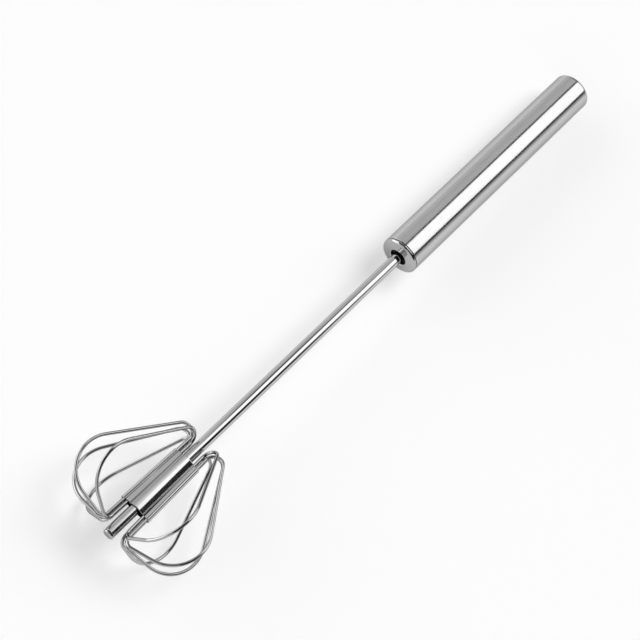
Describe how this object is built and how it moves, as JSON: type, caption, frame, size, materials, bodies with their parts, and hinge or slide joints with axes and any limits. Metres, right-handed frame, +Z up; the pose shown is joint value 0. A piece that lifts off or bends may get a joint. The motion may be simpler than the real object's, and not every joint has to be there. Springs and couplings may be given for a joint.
{
  "type": "push-down rotary whisk",
  "caption": "Stainless push-down hand whisk: pressing the tubular handle slides it over the shaft against a spring and spins the fanned wire loops clamped to the tip.",
  "frame": {"origin": "middle of the underside of the whole tool's box, on the table it lies on", "axes": "+X along the tool from the wire head to the handle, +Y to the left of that, +Z up from the table"},
  "size_m": [0.3052, 0.064, 0.0414],
  "materials": {
    "satin_steel": "satin stainless tube and caps",
    "polished_steel": "polished stainless shaft and clamp",
    "wire_steel": "bright drawn stainless wire",
    "inner_steel": "plain steel inside the handle",
    "black_bush": "moulded black plastic",
    "pale_nylon": "moulded natural nylon"
  },
  "bodies": {
    "handle": {"handle_tube": "satin_steel", "handle_end_cap": "satin_steel", "bottom_cap": "satin_steel", "guide_bush": "black_bush", "anchor_plug": "pale_nylon", "anchor_pin": "inner_steel", "drive_strip": "inner_steel", "return_spring": "inner_steel"},
    "spring_seat": {"thrust_washer": "inner_steel"},
    "whisk": {"shaft_tube": "polished_steel", "tip_plug": "polished_steel", "retaining_collar": "inner_steel", "drive_nut": "pale_nylon", "wire_clamp": "polished_steel", "wire_left_1": "wire_steel", "wire_left_2": "wire_steel", "wire_left_3": "wire_steel", "wire_left_4": "wire_steel", "wire_right_1": "wire_steel", "wire_right_2": "wire_steel", "wire_right_3": "wire_steel", "wire_right_4": "wire_steel"}
  },
  "joints": [
    {"name": "press_slide", "type": "slide", "parent": "handle", "child": "spring_seat", "axis": [0.9991, 0, -0.0422], "range_m": [0, 0.06], "stiffness_N_per_m": 160, "springref_m": -0.03, "deforming": ["return_spring"]},
    {"name": "whisk_spin", "type": "hinge", "parent": "spring_seat", "child": "whisk", "pos_m": [-0.05261, 0.00045, 0.01743], "axis": [0.9991, 0, -0.0422], "range_deg": [0, 900]}
  ],
  "couplings": [
    {"joint": "whisk_spin", "follows": "press_slide", "rad_per_m": 261.8}
  ]
}
